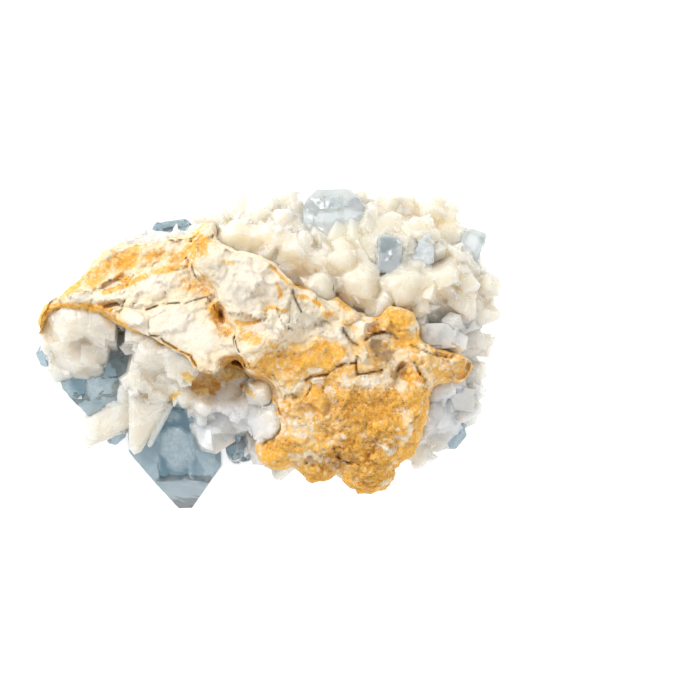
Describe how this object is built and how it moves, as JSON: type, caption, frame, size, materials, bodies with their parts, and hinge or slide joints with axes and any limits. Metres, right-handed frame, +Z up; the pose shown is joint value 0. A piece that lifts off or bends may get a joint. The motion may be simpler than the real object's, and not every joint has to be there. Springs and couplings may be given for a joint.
{
  "type": "celestite with dogtooth calcite mineral specimen",
  "caption": "Loose mineral specimen: blue celestite crystals standing in a crust of dogtooth calcite on ochre-stained limestone. It rests on flat crystal faces.",
  "frame": {"origin": "middle of the specimen's box, on the surface it rests on", "axes": "+X along its length, from the limestone's ledge to the calcite's side, +Z up, the limestone uppermost"},
  "size_m": [0.0679, 0.0466, 0.032],
  "materials": {
    "limestone": "rough, cream with ochre iron staining",
    "calcite": "waxy, milky and slightly see-through",
    "celestite": "clear, pale grey-blue"
  },
  "bodies": {
    "root": {"matrix": "limestone", "calcite_druse": "calcite", "celestite_front_point": "celestite", "celestite_left_pair": "celestite", "celestite_back_left": "celestite", "celestite_back_top": "celestite", "celestite_window": "celestite", "celestite_right_rim": "celestite", "celestite_pale_patch": "celestite", "celestite_right_slot": "celestite", "celestite_slot_tip": "celestite", "celestite_right_lower": "celestite", "celestite_lower_rim": "celestite", "celestite_front_pair": "celestite", "celestite_under_tooth": "celestite", "celestite_left_rim": "celestite", "celestite_foot_left": "celestite", "celestite_foot_right": "celestite", "celestite_foot_front": "celestite", "celestite_foot_middle": "celestite", "celestite_back_low": "celestite", "celestite_right_low": "celestite"}
  },
  "joints": []
}
